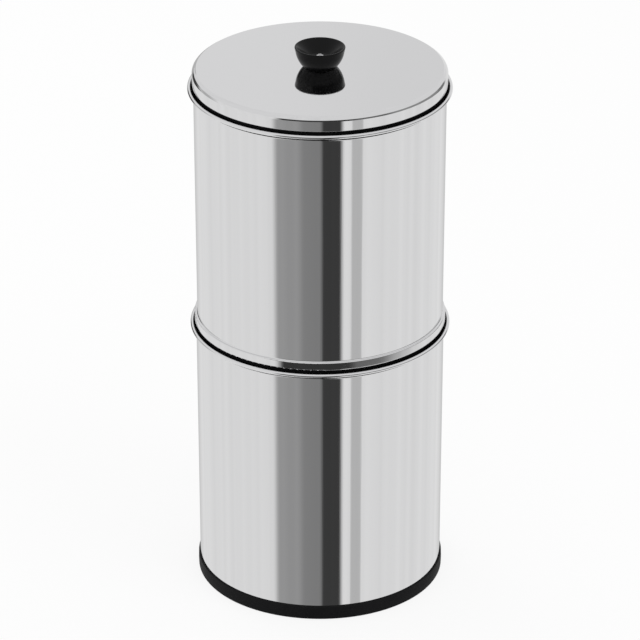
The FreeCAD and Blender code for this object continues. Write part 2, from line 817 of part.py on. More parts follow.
def make_bonnet():
    """The fluted cap on the barrel, whose boss guides the stem."""
    skirt = "(barrel_neck_radius + thread_gap)"
    boss_foot = f"{BONNET_ROOF} - bonnet_boss_drop"
    bonnet = turned(
        "tap_bonnet_body",
        [
            (skirt, "barrel_shoulder"),
            ("bonnet_radius", "barrel_shoulder", "moulding_round / 2"),
            ("bonnet_radius", BONNET_TOP, "bonnet_top_round"),
            (SPINDLE_BORE, BONNET_TOP),
            (SPINDLE_BORE, boss_foot),
            ("bonnet_boss_radius", boss_foot),
            ("bonnet_boss_radius", BONNET_ROOF),
            (skirt, BONNET_ROOF),
        ],
    )
    sketch = flat_sketch(bonnet, "flute_circle", "XY_Plane")
    middle = "bonnet_radius + 0.6 * bonnet_flute_radius"
    sketch.addGeometry(
        Part.Circle(
            FreeCAD.Vector(number(middle), 0, 0),
            FreeCAD.Vector(0, 0, 1),
            number("bonnet_flute_radius"),
        ),
        False,
    )
    sketch.addConstraint(
        [
            Sketcher.Constraint("PointOnObject", 0, 3, -1),
            Sketcher.Constraint("DistanceX", -1, 1, 0, 3, number(middle)),
            Sketcher.Constraint("Radius", 0, number("bonnet_flute_radius")),
        ]
    )
    sketch.setExpression("Constraints[1]", bound(middle))
    sketch.setExpression("Constraints[2]", bound("bonnet_flute_radius"))
    document.recompute()
    flute = bonnet.newObject("PartDesign::Pocket", "flute")
    flute.Profile = sketch
    flute.Reversed = True
    tie(flute, {"Length": f"{BONNET_TOP} - bonnet_flute_stop"})
    document.recompute()
    flutes = bonnet.newObject("PartDesign::PolarPattern", "flutes")
    flutes.Originals = [flute]
    flutes.Axis = (sketch, ["N_Axis"])
    flutes.Angle = 360
    tie(flutes, {"Occurrences": "bonnet_flutes"})
    bonnet.Tip = flutes
    place(bonnet, y=BARREL_Y, z="tap_height")
    keep(bonnet, "tap_bonnet")


def make_valve():
    """The stem with its washer, seal ring and lever pin, and the spring that shuts it."""
    groove_middle = f"({BONNET_TOP} - bonnet_roof - bonnet_boss_drop / 4)"
    groove_half = "(0.6 * o_ring_section)"
    groove_floor = "(spindle_radius - o_ring_section)"
    spindle = turned(
        "tap_stem_blank",
        [
            ("0", f"{SPINDLE_FOOT} - spindle_nose_length"),
            ("spindle_nose_radius", f"{SPINDLE_FOOT} - spindle_nose_length"),
            ("spindle_nose_radius", SPINDLE_FOOT),
            ("spindle_collar_radius", SPINDLE_FOOT),
            ("spindle_collar_radius", SPRING_FOOT),
            ("spindle_radius", SPRING_FOOT),
            ("spindle_radius", f"{groove_middle} - {groove_half}"),
            (groove_floor, f"{groove_middle} - {groove_half}"),
            (groove_floor, f"{groove_middle} + {groove_half}"),
            ("spindle_radius", f"{groove_middle} + {groove_half}"),
            ("spindle_radius", f"{PIN_HEIGHT} + spindle_crown", "0.4 * spindle_radius"),
            ("0", f"{PIN_HEIGHT} + spindle_crown"),
        ],
    )
    pin_hole = cylinder("stem_pin_hole", "pin_radius + pin_press_gap", "4 * spindle_radius", "X")
    place(pin_hole, x="0 - 2 * spindle_radius", z=PIN_HEIGHT)
    stem = cut("tap_stem_body", spindle, [pin_hole])
    place(stem, y=BARREL_Y, z="tap_height")
    keep(stem, "tap_stem")
    ring = document.addObject("Part::Torus", "tap_stem_o_ring_body")
    tie(
        ring,
        {
            "Radius1": "spindle_radius + spindle_gap / 2 - o_ring_section / 2",
            "Radius2": "o_ring_section / 2",
        },
    )
    place(ring, y=BARREL_Y, z=f"tap_height + {groove_middle}")
    keep(ring, "tap_stem_o_ring")
    washer = turned(
        "valve_washer_body",
        [
            ("0", "valve_gap - valve_seat"),
            ("valve_washer_radius", "valve_gap - valve_seat", "0.15 * valve_washer_height"),
            ("valve_washer_radius", SPINDLE_FOOT, "0.15 * valve_washer_height"),
            ("spindle_nose_radius + seal_gap", SPINDLE_FOOT),
            ("spindle_nose_radius + seal_gap", f"{SPINDLE_FOOT} - spindle_nose_length - seal_gap"),
            ("0", f"{SPINDLE_FOOT} - spindle_nose_length - seal_gap"),
        ],
    )
    place(washer, y=BARREL_Y, z="tap_height")
    keep(washer, "tap_valve_washer")
    pin_half = "(spindle_radius + cheek_gap + cheek_thickness - pin_recess)"
    pin = cylinder("tap_lever_pin_body", "pin_radius", f"2 * {pin_half}", "X")
    place(pin, x=f"0 - {pin_half}", y=BARREL_Y, z=f"tap_height + {PIN_HEIGHT}")
    keep(pin, "tap_lever_pin")


def make_spring():
    """A coil spring between the stem's collar and the bonnet's roof."""
    wire = number("spring_wire") / 2
    radius = number("bonnet_boss_radius + spring_clearance") + wire
    foot = f"({SPRING_FOOT} + spring_wire / 2 + seal_gap)"
    rise = number(f"{BONNET_ROOF} - spring_wire / 2 - seal_gap - {foot}")
    helix = Part.makeHelix(rise / number("spring_turns"), rise, radius)
    start = FreeCAD.Vector(radius, 0, 0)
    circle = Part.Wire(Part.makeCircle(wire, start, FreeCAD.Vector(0, 1, 0)))
    coil = Part.Wire(helix.Edges).makePipeShell([circle], True, True)
    spring = document.addObject("Part::Feature", "tap_spring_body")
    spring.Shape = coil
    place(spring, y=BARREL_Y, z=f"tap_height + {foot}")
    keep(spring, "tap_spring")


def cam_point(angle, rise):
    """The point (y, z) of the cam that touches the bonnet when the lever has turned by this angle."""
    support = number("cam_radius") + rise * angle
    outward = FreeCAD.Vector(0, -math.sin(angle), -math.cos(angle))
    along = FreeCAD.Vector(0, -math.cos(angle), math.sin(angle))
    return outward * support + along * rise


def make_lever():
    """The forked lever, whose cam lifts the stem evenly as it tilts forward."""
    sweep = math.radians(number("lever_sweep"))
    rise = number("valve_lift") / sweep
    radius, web = number("cam_radius"), number("cheek_height")
    top, lean = number("lever_length"), number("lever_lean")
    thick = number("lever_thickness")
    root = web + thick
    shift = FreeCAD.Vector(0, -lean, top - root)
    steps = [cam_point(sweep * i / 8, rise) for i in range(9)]
    cam = Part.BSplineCurve()
    cam.interpolate(steps)
    toe = steps[-1]
    front_root = FreeCAD.Vector(0, -thick, root)
    back_root = FreeCAD.Vector(0, 0, root)
    bottom = FreeCAD.Vector(0, 0, -radius)
    heel = FreeCAD.Vector(0, radius, 0)
    slant = FreeCAD.Vector(0, radius * math.sin(math.pi / 4), -radius * math.cos(math.pi / 4))
    front_tip, back_tip = front_root + shift, back_root + shift
    edges = [
        Part.LineSegment(bottom, steps[0]).toShape(),
        cam.toShape(),
        Part.LineSegment(toe, front_root).toShape(),
        Part.LineSegment(front_root, front_tip).toShape(),
        Part.LineSegment(front_tip, back_tip).toShape(),
        Part.LineSegment(back_tip, back_root).toShape(),
        Part.LineSegment(back_root, heel).toShape(),
        Part.Arc(heel, slant, bottom).toShape(),
    ]
    half_tip = number("lever_tip_width") / 2
    half_root = number("spindle_radius + cheek_gap + cheek_thickness")
    side = Part.Face(Part.Wire(edges))
    side.translate(FreeCAD.Vector(-half_tip, 0, 0))
    middle = FreeCAD.Vector(0, 0, top - half_tip)
    shoulder = FreeCAD.Vector(half_root, 0, root)
    away = shoulder - middle
    angle = math.atan2(away.z, away.x) + math.acos(half_tip / away.Length)
    touch = middle + FreeCAD.Vector(math.cos(angle), 0, math.sin(angle)) * half_tip
    foot = FreeCAD.Vector(half_root, 0, -2 * radius)
    left_foot, left_shoulder, left_touch = (
        FreeCAD.Vector(-point.x, 0, point.z) for point in (foot, shoulder, touch)
    )
    outline = [
        Part.LineSegment(left_foot, foot).toShape(),
        Part.LineSegment(foot, shoulder).toShape(),
        Part.LineSegment(shoulder, touch).toShape(),
        Part.Arc(touch, FreeCAD.Vector(0, 0, top), left_touch).toShape(),
        Part.LineSegment(left_touch, left_shoulder).toShape(),
        Part.LineSegment(left_shoulder, left_foot).toShape(),
    ]
    paddle = Part.Face(Part.Wire(outline))
    paddle.translate(FreeCAD.Vector(0, -3 * top, 0))
    front = paddle.extrude(FreeCAD.Vector(0, 6 * top, 0))
    solid = side.extrude(FreeCAD.Vector(2 * half_tip, 0, 0)).common(front)
    gap = number("spindle_radius + cheek_gap")
    slot = Part.makeBox(2 * gap, 6 * radius, 4 * radius)
    slot.translate(FreeCAD.Vector(-gap, -3 * radius, web - 4 * radius))
    hole = Part.makeCylinder(
        number("pin_radius + pin_running_gap"),
        2 * half_tip,
        FreeCAD.Vector(-half_tip, 0, 0),
        FreeCAD.Vector(1, 0, 0),
    )
    lever = document.addObject("Part::Feature", "tap_lever_body")
    lever.Shape = solid.cut(slot).cut(hole).removeSplitter()
    place(lever, y=BARREL_Y, z=f"tap_height + {PIN_HEIGHT}")
    keep(lever, "tap_lever")


make_lower_chamber()
make_base_ring()
make_upper_chamber()
for candle in FLOOR_HOLES[:2]:
    make_candle(*candle)
for spare in FLOOR_HOLES[2:]:
    make_blanking_plug(*spare)
make_lid()
make_knob()
make_tap_body()
make_tap_seals()
make_bonnet()
make_valve()
make_spring()
make_lever()
document.recompute()

for thing in document.Objects:
    if "Invalid" in thing.State or "Error" in thing.State:
        raise RuntimeError(f"{thing.Name} did not build: {thing.State}")
os.makedirs("parts", exist_ok=True)
for node in nodes:
    shape = node.Shape
    if shape.isNull() or not shape.isValid() or not shape.Solids:
        raise RuntimeError(f"{node.Label} is not a sound solid")
    shape.exportStep(f"parts/{node.Label}.step")
    print(f"{node.Label}: {len(shape.Solids)} solid, {shape.Volume / 1000:.2f} cm3")
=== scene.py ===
"""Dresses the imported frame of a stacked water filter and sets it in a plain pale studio."""

import logging
import math
from collections.abc import Mapping
from dataclasses import dataclass
from enum import Enum

import bpy
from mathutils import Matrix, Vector


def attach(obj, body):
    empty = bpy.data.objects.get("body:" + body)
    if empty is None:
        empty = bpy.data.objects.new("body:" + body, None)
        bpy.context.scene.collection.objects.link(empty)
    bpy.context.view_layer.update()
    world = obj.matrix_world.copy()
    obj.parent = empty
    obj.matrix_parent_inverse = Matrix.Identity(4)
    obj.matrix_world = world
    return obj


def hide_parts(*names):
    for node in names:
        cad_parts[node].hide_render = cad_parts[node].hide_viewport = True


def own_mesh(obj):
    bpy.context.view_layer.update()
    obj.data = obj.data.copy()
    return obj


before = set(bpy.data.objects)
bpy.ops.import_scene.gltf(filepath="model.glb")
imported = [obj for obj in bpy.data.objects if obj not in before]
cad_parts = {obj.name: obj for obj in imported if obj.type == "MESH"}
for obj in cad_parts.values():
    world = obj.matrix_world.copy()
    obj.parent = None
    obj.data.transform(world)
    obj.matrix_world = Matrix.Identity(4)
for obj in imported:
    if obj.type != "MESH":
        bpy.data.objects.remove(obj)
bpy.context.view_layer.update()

log = logging.getLogger("water_filter")

MM = 0.001
WHITE = (1, 1, 1, 1)
Colour = tuple[float, float, float]


class Canvas:
    """Adds the nodes of one node tree and joins them."""

    def __init__(self, tree: bpy.types.NodeTree) -> None:
        """Takes the tree and empties it."""
        self.tree = tree
        tree.nodes.clear()

    def add(
        self, kind: str, inputs: Mapping[str | int, object] | None = None, **settings: object
    ) -> bpy.types.Node:
        """Adds a node.

        Args:
            kind: The node's type, without its ShaderNode or Node prefix.
            inputs: A value or another node's output socket for each input.
            settings: The node's own properties.

        Returns:
            The new node.
        """
        prefix = "" if kind.startswith(("NodeGroup", "ShaderNode")) else "ShaderNode"
        node = self.tree.nodes.new(prefix + kind)
        for name, setting in settings.items():
            setattr(node, name, setting)
        for name, given in (inputs or {}).items():
            if isinstance(given, bpy.types.NodeSocket):
                self.tree.links.new(given, node.inputs[name])
            else:
                node.inputs[name].default_value = given
        node.location = (220 * len(self.tree.nodes), 0)
        return node

    def maths(self, operation: str, first: object, second: object = 0.0) -> bpy.types.NodeSocket:
        """Returns what the operation makes of one or two values or sockets."""
        return self.add("Math", {0: first, 1: second}, operation=operation).outputs[0]

    def span(
        self,
        value: bpy.types.NodeSocket,
        source: tuple[float, float],
        target: tuple[float, float],
        smooth: bool = False,
    ) -> bpy.types.NodeSocket:
        """Maps a value from one range to another.

        Args:
            value: The socket that is mapped.
            source: The range that the value is read in.
            target: The range that it is put in.
            smooth: Whether it eases in and out.

        Returns:
            The mapped value.
        """
        inputs = {"Value": value, 1: source[0], 2: source[1], 3: target[0], 4: target[1]}
        kind = "SMOOTHSTEP" if smooth else "LINEAR"
        return self.add("MapRange", inputs, interpolation_type=kind).outputs["Result"]


class Effect:
    """A shader node group with named inputs and outputs, which several finishes share."""

    name = "effect"
    inputs: Mapping[str, float] = {}
    outputs: tuple[str, ...] = ()

    @classmethod
    def group(cls) -> bpy.types.NodeTree:
        """Returns the effect's group, and builds it the first time."""
        if cls.name in bpy.data.node_groups:
            return bpy.data.node_groups[cls.name]
        tree = bpy.data.node_groups.new(cls.name, "ShaderNodeTree")
        tree.interface.new_socket("Vector", in_out="INPUT", socket_type="NodeSocketVector")
        for title, preset in cls.inputs.items():
            socket = tree.interface.new_socket(
                title, in_out="INPUT", socket_type="NodeSocketFloat"
            )
            socket.default_value = preset
        for title in cls.outputs:
            tree.interface.new_socket(title, in_out="OUTPUT", socket_type="NodeSocketFloat")
        canvas = Canvas(tree)
        given = canvas.add("NodeGroupInput").outputs
        made = cls.build(canvas, given)
        canvas.add("NodeGroupOutput", dict(zip(cls.outputs, made, strict=True)))
        return tree

    @classmethod
    def build(
        cls, canvas: Canvas, given: bpy.types.bpy_prop_collection
    ) -> tuple[bpy.types.NodeSocket, ...]:
        """Adds the group's nodes and returns one socket for each output."""
        raise NotImplementedError

    @classmethod
    def place(
        cls, canvas: Canvas, vector: bpy.types.NodeSocket, **values: float
    ) -> bpy.types.Node:
        """Adds the group to a material.

        Args:
            canvas: The material's canvas.
            vector: The coordinates that the effect reads.
            values: The group's inputs, by their names in lower case.

        Returns:
            The group's node.
        """
        named = {title: values.get(title.lower(), cls.inputs[title]) for title in cls.inputs}
        node = canvas.add("ShaderNodeGroup", node_tree=cls.group())
        canvas.tree.links.new(vector, node.inputs["Vector"])
        for title, given in named.items():
            node.inputs[title].default_value = given
        return node


class PolishLines(Effect):
    """Fine buffing lines, stretched along the second axis of the coordinates."""

    name = "polish_lines"
    inputs = {"Density": 900.0, "Base": 0.05, "Spread": 0.03, "Clouds": 9.0}
    outputs = ("Roughness", "Height")
    stretch = (1, 0.012, 0.012)

    @classmethod
    def build(
        cls, canvas: Canvas, given: bpy.types.bpy_prop_collection
    ) -> tuple[bpy.types.NodeSocket, ...]:
        """Adds the lines' nodes and returns the roughness and the height."""
        stretched = canvas.add(
            "VectorMath", {0: given["Vector"], 1: cls.stretch}, operation="MULTIPLY"
        ).outputs[0]
        lines = canvas.add(
            "TexNoise",
            {"Vector": stretched, "Scale": given["Density"], "Detail": 3.0, "Roughness": 0.6},
        ).outputs[0]
        clouds = canvas.add(
            "TexNoise", {"Vector": given["Vector"], "Scale": given["Clouds"], "Detail": 2.0}
        ).outputs[0]
        varied = canvas.maths("MULTIPLY", lines, clouds)
        rough = canvas.maths("MULTIPLY", varied, given["Spread"])
        return canvas.maths("ADD", rough, given["Base"]), lines


class MouldedGrain(Effect):
    """The faint orange peel and the uneven gloss of a moulded or pressed surface."""

    name = "moulded_grain"
    inputs = {"Grain": 900.0, "Base": 0.3, "Spread": 0.1, "Clouds": 40.0}
    outputs = ("Roughness", "Height", "Mottle")

    @classmethod
    def build(
        cls, canvas: Canvas, given: bpy.types.bpy_prop_collection
    ) -> tuple[bpy.types.NodeSocket, ...]:
        """Adds the grain's nodes and returns the roughness, the height and the mottle."""
        peel = canvas.add(
            "TexNoise", {"Vector": given["Vector"], "Scale": given["Grain"], "Detail": 4.0}
        ).outputs[0]
        clouds = canvas.add(
            "TexNoise", {"Vector": given["Vector"], "Scale": given["Clouds"], "Detail": 3.0}
        ).outputs[0]
        rough = canvas.maths("MULTIPLY", clouds, given["Spread"])
        return canvas.maths("ADD", rough, given["Base"]), peel, clouds


class Lay(Enum):
    """The way that polishing lines run on a turned piece."""

    UPRIGHT = "along the axis"
    ROUND = "round the axis"


class Finish:
    """One material of the filter, made the first time that a piece asks for it."""

    name: str

    def material(self) -> bpy.types.Material:
        """Returns the finish's material."""
        if self.name in bpy.data.materials:
            return bpy.data.materials[self.name]
        made = bpy.data.materials.new(self.name)
        made.use_nodes = True
        canvas = Canvas(made.node_tree)
        place = canvas.add("TexCoord").outputs["Object"]
        shader = canvas.add("BsdfPrincipled")
        canvas.add("OutputMaterial", {"Surface": shader.outputs[0]})
        self.dress(canvas, place, shader)
        return made

    def dress(
        self, canvas: Canvas, place: bpy.types.NodeSocket, shader: bpy.types.Node
    ) -> None:
        """Adds what the finish feeds into its shader.

        Args:
            canvas: The material's canvas.
            place: The Object coordinates.
            shader: The Principled shader.
        """
        raise NotImplementedError


@dataclass(frozen=True)
class Steel(Finish):
    """Stainless steel with buffing lines, from a mirror polish to a turned surface, with bands of
    painted shade at its seats.
    """

    name: str
    colour: Colour = (0.78, 0.78, 0.785)
    lay: Lay = Lay.UPRIGHT
    centre: tuple[float, float] = (0.0, 0.0)
    base: float = 0.03
    spread: float = 0.03
    depth: float = 0.008
    density: float = 900.0
    # Bands of painted shade, with their dark tint and roughness, that stand for the deep shade in
    # the narrow gaps at the seats.
    painted_shade_bands: tuple[tuple[float, float, float], ...] = ()
    painted_shade_tint: Colour = (0.015, 0.015, 0.016)
    painted_shade_roughness: float = 0.6
    turn_length: float = 0.1

    def dress(
        self, canvas: Canvas, place: bpy.types.NodeSocket, shader: bpy.types.Node
    ) -> None:
        """Lays the lines on the metal and paints shade into the narrow gaps at its seats, as a
        dark tint and a duller surface.

        Args:
            canvas: The material's canvas.
            place: The Object coordinates.
            shader: The Principled shader.
        """
        centred = canvas.add(
            "Mapping", {"Vector": place, "Location": (-self.centre[0], -self.centre[1], 0)}
        ).outputs[0]
        axes = canvas.add("SeparateXYZ", {0: centred}).outputs
        turn = canvas.maths("ARCTAN2", axes["Y"], axes["X"])
        radius = canvas.maths(
            "SQRT",
            canvas.maths(
                "ADD",
                canvas.maths("MULTIPLY", axes["X"], axes["X"]),
                canvas.maths("MULTIPLY", axes["Y"], axes["Y"]),
            ),
        )
        way_round = canvas.maths("MULTIPLY", turn, self.turn_length)
        across, along = (
            (way_round, axes["Z"]) if self.lay is Lay.UPRIGHT else (radius, way_round)
        )
        laid = canvas.add("CombineXYZ", {"X": across, "Y": along}).outputs[0]
        lines = PolishLines.place(
            canvas, laid, density=self.density, base=self.base, spread=self.spread
        ).outputs
        shader.inputs["Metallic"].default_value = 1.0
        shader.inputs["Base Color"].default_value = (*self.colour, 1)
        rough = lines["Roughness"]
        colour: object = (*self.colour, 1)
        # Painted shade: inside each band the steel's colour turns dark and its surface dull,
        # where real shade falls in the gap.
        for low, high, reach in self.painted_shade_bands:
            above = canvas.maths("GREATER_THAN", axes["Z"], low)
            below = canvas.maths("LESS_THAN", axes["Z"], high)
            inside = canvas.maths("LESS_THAN", radius, reach)
            painted_shade_mask = canvas.maths("MULTIPLY", canvas.maths("MULTIPLY", above, below), inside)
            colour = canvas.add(
                "Mix", {0: painted_shade_mask, 6: colour, 7: (*self.painted_shade_tint, 1)}, data_type="RGBA"
            ).outputs[2]
            painted_shade_dulling = canvas.maths("MULTIPLY", painted_shade_mask, self.painted_shade_roughness)
            rough = canvas.maths("MAXIMUM", rough, painted_shade_dulling)
        if self.painted_shade_bands:
            canvas.tree.links.new(colour, shader.inputs["Base Color"])
        canvas.tree.links.new(rough, shader.inputs["Roughness"])
        bump = canvas.add(
            "Bump", {"Height": lines["Height"], "Strength": self.depth, "Distance": MM}
        )
        canvas.tree.links.new(bump.outputs[0], shader.inputs["Normal"])


@dataclass(frozen=True)
class Moulded(Finish):
    """Plastic, rubber, silicone, ceramic or pressed carbon, with its own grain and mottle."""

    name: str
    colour: Colour
    mottle: Colour
    base: float = 0.3
    spread: float = 0.15
    grain: float = 900.0
    clouds: float = 40.0
    depth: float = 0.05
    coat: float = 0.0
    specular: float = 0.5
    ior: float = 1.5
    translucence: float = 0.0

    def dress(
        self, canvas: Canvas, place: bpy.types.NodeSocket, shader: bpy.types.Node
    ) -> None:
        """Mottles the colour and roughens the surface with the grain.

        Args:
            canvas: The material's canvas.
            place: The Object coordinates.
            shader: The Principled shader.
        """
        grain = MouldedGrain.place(
            canvas,
            place,
            grain=self.grain,
            base=self.base,
            spread=self.spread,
            clouds=self.clouds,
        ).outputs
        colour = canvas.add(
            "Mix",
            {0: grain["Mottle"], 6: (*self.colour, 1), 7: (*self.mottle, 1)},
            data_type="RGBA",
        ).outputs[2]
        bump = canvas.add(
            "Bump", {"Height": grain["Height"], "Strength": self.depth, "Distance": MM}
        )
        canvas.tree.links.new(colour, shader.inputs["Base Color"])
        canvas.tree.links.new(grain["Roughness"], shader.inputs["Roughness"])
        canvas.tree.links.new(bump.outputs[0], shader.inputs["Normal"])
        shader.inputs["Coat Weight"].default_value = self.coat
        shader.inputs["Specular IOR Level"].default_value = self.specular
        shader.inputs["IOR"].default_value = self.ior
        shader.inputs["Subsurface Weight"].default_value = self.translucence
        shader.inputs["Subsurface Scale"].default_value = 2 * MM


def dress_node(node: str, finish: Finish) -> None:
    """Gives a CAD node's material slots the finish."""
    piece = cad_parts[node]
    made = finish.material()
    if not piece.material_slots:
        piece.data.materials.append(made)
    for held in piece.material_slots:
        held.material = made
    log.info("%s: %s", node, finish.name)


def stand_alone(piece: bpy.types.Object) -> None:
    """Selects one piece and nothing else, and makes it the active one."""
    bpy.ops.object.select_all(action="DESELECT")
    piece.select_set(True)
    bpy.context.view_layer.objects.active = piece


BLACK_PLASTIC = Moulded(
    "black_tap_plastic", (0.012, 0.012, 0.013), (0.02, 0.02, 0.021), base=0.2, spread=0.12
)
TURNED_STEEL = Steel("turned_steel", lay=Lay.ROUND, base=0.16, spread=0.2, depth=0.03)


def painted_shade_band(heights: tuple[float, float], reach: float) -> tuple[float, float, float]:
    """Returns a band of painted shade in metres, from its heights and its outer radius in
    millimetres.
    """
    return heights[0] * MM, heights[1] * MM, reach * MM


@dataclass
class Chambers:
    """The two polished cans and the black ring that they stand on."""

    # Heights and outer radii, in millimetres, of the bands of painted shade in the narrow gaps at
    # the rims and at the seat.
    rim_shade_reach: float = 110.3
    lower_rim_shade: tuple[float, float] = (234.9, 239.6)
    upper_rim_shade: tuple[float, float] = (455.0, 459.7)
    seat_shade_reach: float = 108.2
    seat_shade: tuple[float, float] = (238.6, 242.6)

    def dress(self) -> None:
        """Gives the cans and the ring their finishes."""
        # Both cans' steel carries painted shade in the gaps at their rims and at the seat.
        lower = Steel("lower_can_polish_and_painted_shade", painted_shade_bands=(painted_shade_band(self.lower_rim_shade, self.rim_shade_reach),))
        upper = Steel(
            "upper_can_polish_and_painted_shade",
            painted_shade_bands=(
                painted_shade_band(self.seat_shade, self.seat_shade_reach),
                painted_shade_band(self.upper_rim_shade, self.rim_shade_reach),
            ),
        )
        ring = Moulded(
            "base_ring_rubber",
            (0.006, 0.006, 0.0065),
            (0.012, 0.012, 0.0125),
            base=0.45,
            spread=0.2,
            specular=0.3,
            ior=1.2,
        )
        dress_node("lower_chamber", lower)
        dress_node("upper_chamber", upper)
        dress_node("base_ring", ring)


@dataclass
class LidAndKnob:
    """The pressed lid, its bowl-shaped knob and the screw that holds it."""

    # Heights and outer radius, in millimetres, of the band of painted shade on the lid's plug, in
    # the narrow gap at the rim.
    plug_shade: tuple[float, float] = (458.8, 462.8)
    plug_shade_reach: float = 108.1

    def dress(self) -> None:
        """Gives the lid, the knob and the fasteners their finishes."""
        lid = Steel(
            "lid_polish_and_painted_shade",
            lay=Lay.ROUND,
            base=0.035,
            depth=0.006,
            painted_shade_bands=(painted_shade_band(self.plug_shade, self.plug_shade_reach),),
        )
        dress_node("lid", lid)
        knob = Moulded(
            "polished_phenolic",
            (0.003, 0.003, 0.0032),
            (0.005, 0.005, 0.0052),
            base=0.16,
            spread=0.12,
            depth=0.02,
            specular=0.25,
            ior=1.35,
        )
        dress_node("lid_knob", knob)
        bright = Steel("bright_fastener", lay=Lay.ROUND, base=0.1, spread=0.15, depth=0.02)
        for node in ("knob_screw", "knob_washer", "knob_nut"):
            dress_node(node, bright)


@dataclass
class Candles:
    """The two filter candles and the two plugs in the upper chamber's floor."""

    def dress(self) -> None:
        """Gives the candles, the plugs, and their seals and nuts their finishes."""
        ceramic = Moulded(
            "porous_ceramic",
            (0.80, 0.78, 0.73),
            (0.88, 0.86, 0.82),
            base=0.75,
            spread=0.2,
            grain=1500.0,
            clouds=60.0,
            depth=0.25,
        )
        white = Moulded(
            "white_plastic", (0.78, 0.79, 0.80), (0.84, 0.85, 0.86), base=0.32, depth=0.04
        )
        carbon = Moulded(
            "pressed_carbon", (0.015, 0.015, 0.015), (0.04, 0.04, 0.04), base=0.8, depth=0.5
        )
        silicone = Moulded(
            "clear_silicone",
            (0.62, 0.61, 0.58),
            (0.70, 0.69, 0.66),
            base=0.4,
            depth=0.03,
            translucence=0.3,
        )
        for side in ("left_candle", "right_candle"):
            dress_node(f"{side}_ceramic_shell", ceramic)
            dress_node(f"{side}_carbon_core", carbon)
            dress_node(f"{side}_cup", white)
            dress_node(f"{side}_wing_nut", white)
            dress_node(f"{side}_seal", silicone)
        for end in ("front_plug", "rear_plug"):
            dress_node(f"{end}_bolt", white)
            dress_node(f"{end}_nut", white)
            dress_node(f"{end}_seal", silicone)


@dataclass
class Tap:
    """The lever tap in the lower chamber's wall."""

    stem_lift: float = 4.0
    edge_round: float = 0.7
    edge_steps: int = 3
    sharp_turn: float = 35.0
    merge_within: float = 0.002

    def soften_lever(self) -> bpy.types.Object:
        """Makes the moulded lever with soft edges, which stands for the CAD lever.

        Returns:
            The lever.
        """
        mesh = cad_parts["tap_lever"].data.copy()
        lever = bpy.data.objects.new("tap_lever_moulding", mesh)
        bpy.context.scene.collection.objects.link(lever)
        stand_alone(lever)
        bpy.ops.object.mode_set(mode="EDIT")
        bpy.ops.mesh.select_all(action="SELECT")
        bpy.ops.mesh.customdata_custom_splitnormals_clear()
        bpy.ops.mesh.remove_doubles(threshold=self.merge_within * MM)
        bpy.ops.mesh.dissolve_limited(angle_limit=math.radians(1))
        bpy.ops.object.mode_set(mode="OBJECT")
        bevel = lever.modifiers.new("soft_edges", "BEVEL")
        bevel.width = self.edge_round * MM
        bevel.segments = self.edge_steps
        bevel.limit_method = "ANGLE"
        bevel.angle_limit = math.radians(self.sharp_turn)
        bevel.harden_normals = False
        bpy.ops.object.modifier_apply(modifier=bevel.name)
        bpy.ops.object.shade_smooth_by_angle(angle=math.radians(self.sharp_turn))
        lever.data.materials.clear()
        lever.data.materials.append(BLACK_PLASTIC.material())
        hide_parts("tap_lever")
        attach(lever, "tap_lever")
        log.info("tap_lever_moulding: %d faces", len(lever.data.polygons))
        return lever

    def wind_spring(self) -> bpy.types.Object:
        """Makes the spring that the stem presses together, which stands for the CAD spring.

        Returns:
            The spring.
        """
        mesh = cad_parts["tap_spring"].data.copy()
        spring = bpy.data.objects.new("tap_spring_coil", mesh)
        bpy.context.scene.collection.objects.link(spring)
        spring.data.materials.clear()
        spring.data.materials.append(TURNED_STEEL.material())
        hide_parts("tap_spring")
        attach(spring, "lower")
        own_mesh(spring)
        return spring

    def dress(self) -> None:
        """Gives the tap's pieces their finishes."""
        for node in ("tap_body", "tap_bonnet", "tap_lock_nut"):
            dress_node(node, BLACK_PLASTIC)
        for node in ("tap_stem", "tap_lever_pin"):
            dress_node(node, TURNED_STEEL)
        rubber = Moulded(
            "seal_rubber", (0.02, 0.02, 0.02), (0.035, 0.035, 0.035), base=0.5, depth=0.05
        )
        for node in ("tap_outer_seal", "tap_inner_seal", "tap_stem_o_ring"):
            dress_node(node, rubber)
        washer = Moulded(
            "valve_silicone", (0.62, 0.61, 0.58), (0.70, 0.69, 0.66), base=0.4, depth=0.03
        )
        dress_node("tap_valve_washer", washer)


class Zone(Enum):
    """The two heights below the horizon at which the steel mirrors the studio."""

    FLOORWARD = "what upright walls mirror"
    LEVEL = "what leaning bands mirror"


@dataclass(frozen=True)
class Card:
    """One card or flag that stands round the filter, in degrees towards the picture's right."""

    start: float
    end: float
    light: float
    edge: float = 5.0


